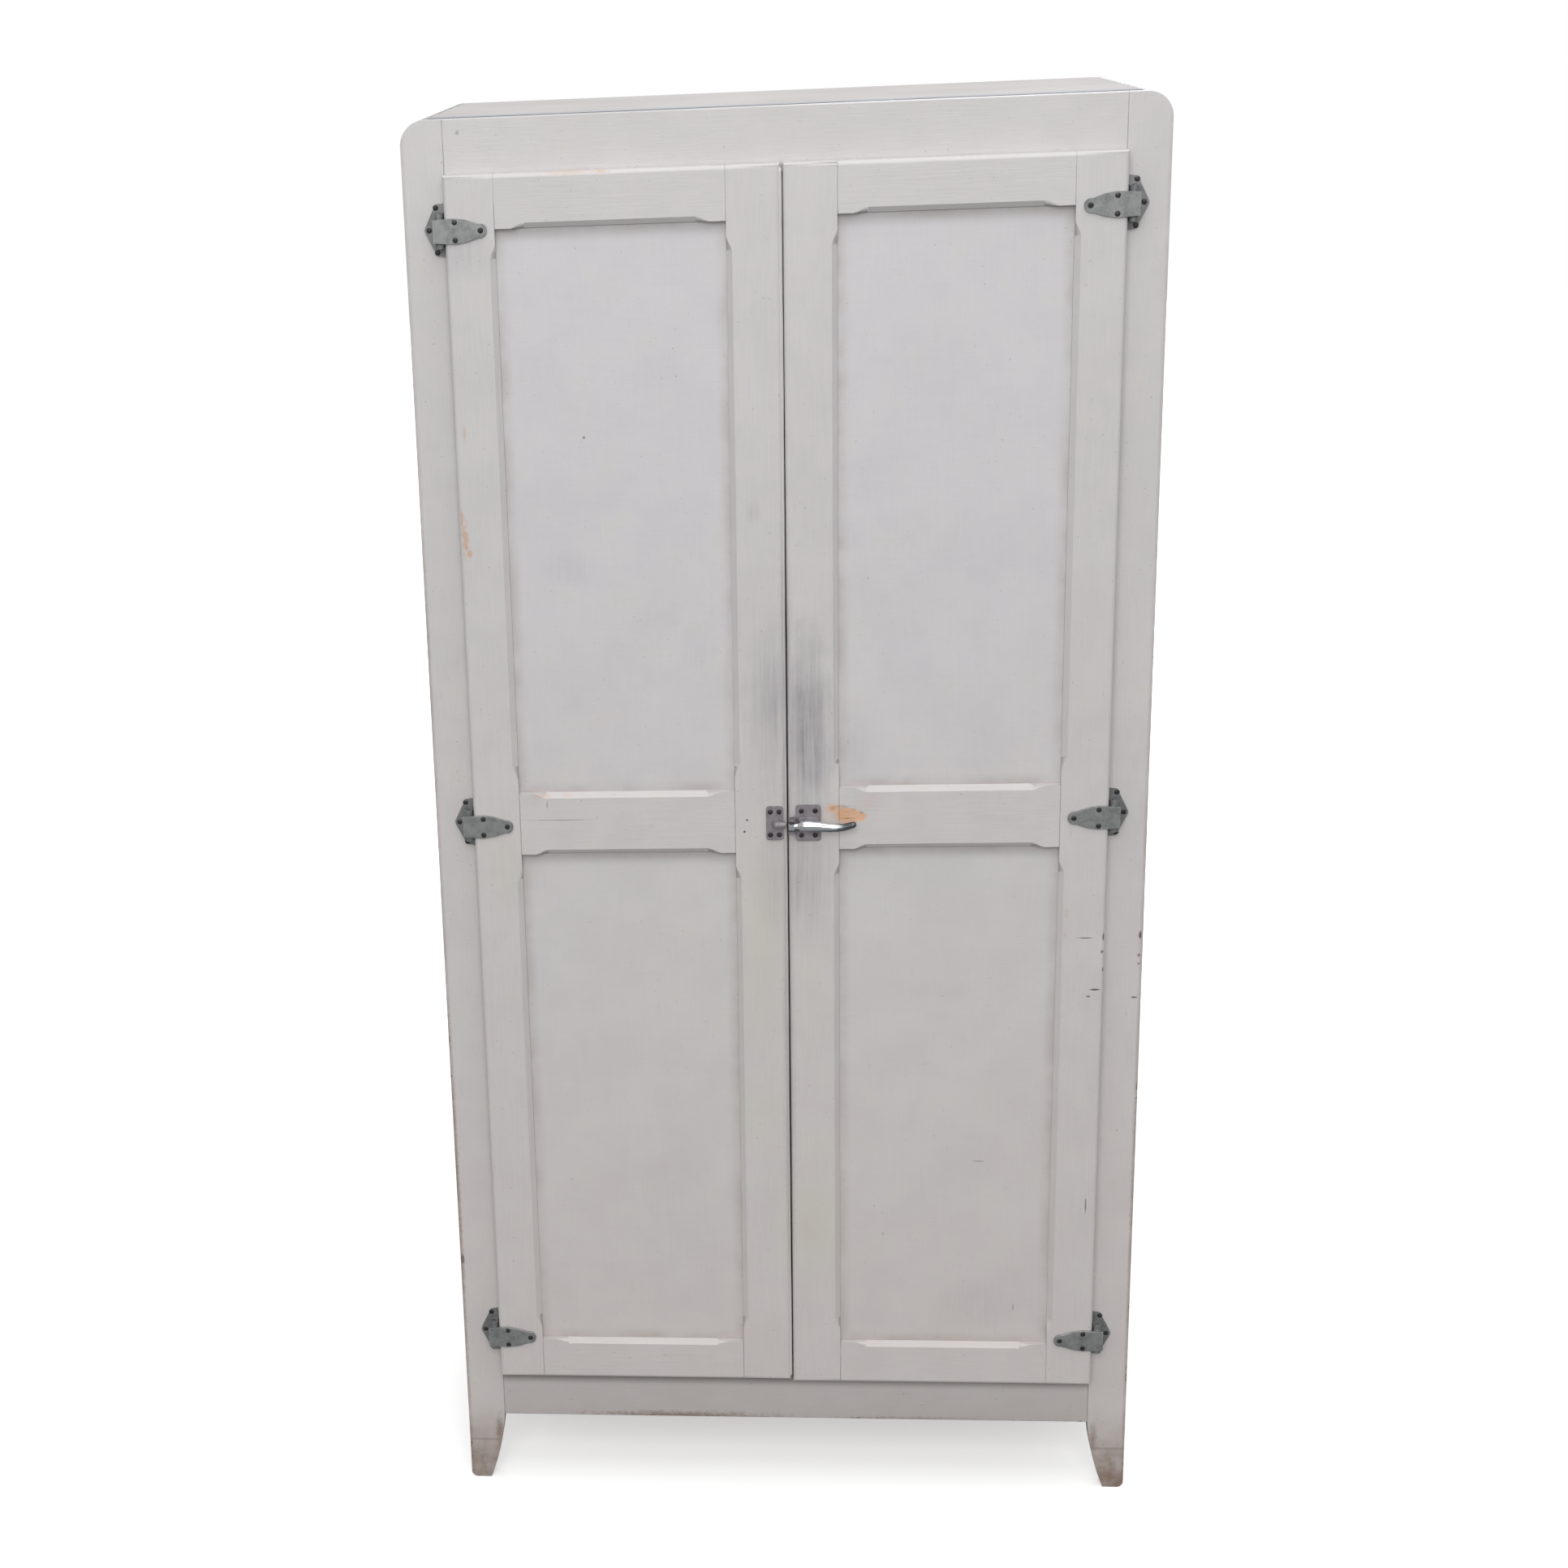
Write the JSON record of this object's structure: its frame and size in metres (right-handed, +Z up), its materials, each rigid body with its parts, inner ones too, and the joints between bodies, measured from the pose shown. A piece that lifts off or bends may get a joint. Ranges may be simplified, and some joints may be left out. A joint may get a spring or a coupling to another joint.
{
  "type": "pantry cabinet",
  "caption": "Tall painted-wood pantry cabinet on short curved feet, with two panelled doors on offset hinges, a lever latch at the middle and shelves inside.",
  "frame": {"origin": "on the floor, in the middle of the whole cabinet's footprint, the latch lever included", "axes": "+X to the right seen from the front, +Y to the back, +Z up; the doors face -Y"},
  "size_m": [0.85, 0.4618, 1.75],
  "materials": {
    "painted_wood": "worn off-white gloss paint on wood, yellowed and grimy round the latch",
    "bare_wood": "bare aged softwood with visible grain",
    "dull_zinc": "dull grey plated steel, worn",
    "dark_steel": "dark oxidised steel",
    "lever_chrome": "polished chrome, worn at the tip",
    "bolt_steel": "bright drawn steel"
  },
  "bodies": {
    "carcass": {"front_stile_left": "painted_wood", "front_stile_right": "painted_wood", "front_top_rail": "painted_wood", "front_bottom_rail": "painted_wood", "rear_post_left": "painted_wood", "rear_post_right": "painted_wood", "side_top_rail_left": "painted_wood", "side_top_rail_right": "painted_wood", "side_bottom_rail_left": "painted_wood", "side_bottom_rail_right": "painted_wood", "side_panel_left": "painted_wood", "side_panel_right": "painted_wood", "top_panel": "painted_wood", "back_top_rail": "bare_wood", "back_bottom_rail": "painted_wood", "back_boards": "bare_wood", "back_nails": "dark_steel", "bottom_board": "bare_wood", "shelf_1": "bare_wood", "shelf_2": "bare_wood", "shelf_3": "bare_wood", "shelf_4": "bare_wood", "shelf_cleats": "bare_wood", "frame_leaf_left_top": "dull_zinc", "frame_leaf_left_mid": "dull_zinc", "frame_leaf_left_bottom": "dull_zinc", "frame_leaf_right_top": "dull_zinc", "frame_leaf_right_mid": "dull_zinc", "frame_leaf_right_bottom": "dull_zinc", "hinge_pins": "dark_steel", "frame_screws": "dark_steel"},
    "left_door": {"left_hinge_stile": "painted_wood", "left_meeting_stile": "painted_wood", "left_door_top_rail": "painted_wood", "left_door_mid_rail": "painted_wood", "left_door_bottom_rail": "painted_wood", "left_upper_panel": "painted_wood", "left_lower_panel": "painted_wood", "left_door_screws": "dark_steel", "strap_left_top": "dull_zinc", "strap_left_mid": "dull_zinc", "strap_left_bottom": "dull_zinc", "strike_plate": "dull_zinc", "bolt_plate": "dull_zinc"},
    "right_door": {"right_hinge_stile": "painted_wood", "right_meeting_stile": "painted_wood", "right_door_top_rail": "painted_wood", "right_door_mid_rail": "painted_wood", "right_door_bottom_rail": "painted_wood", "right_upper_panel": "painted_wood", "right_lower_panel": "painted_wood", "right_door_screws": "dark_steel", "strap_right_top": "dull_zinc", "strap_right_mid": "dull_zinc", "strap_right_bottom": "dull_zinc", "latch_case": "dull_zinc", "latch_pin": "dark_steel", "latch_spring": "dark_steel"},
    "lever": {"latch_lever": "lever_chrome"},
    "bolt": {"bolt_rod": "bolt_steel"}
  },
  "joints": [
    {"name": "left_door_hinge", "type": "hinge", "parent": "carcass", "child": "left_door", "pos_m": [-0.3835, -0.20513, 0.9], "axis": [0, 0, -1], "range_deg": [0, 170]},
    {"name": "right_door_hinge", "type": "hinge", "parent": "carcass", "child": "right_door", "pos_m": [0.3835, -0.20513, 0.9], "axis": [0, 0, 1], "range_deg": [0, 170]},
    {"name": "lever_pivot", "type": "hinge", "parent": "right_door", "child": "lever", "pos_m": [0.0052, -0.22412, 0.923], "axis": [0, 0, -1], "range_deg": [0, 30], "stiffness_Nm_per_rad": 0.3},
    {"name": "bolt_slide", "type": "slide", "parent": "left_door", "child": "bolt", "axis": [0, 0, 1], "range_m": [0, 0.014]}
  ]
}
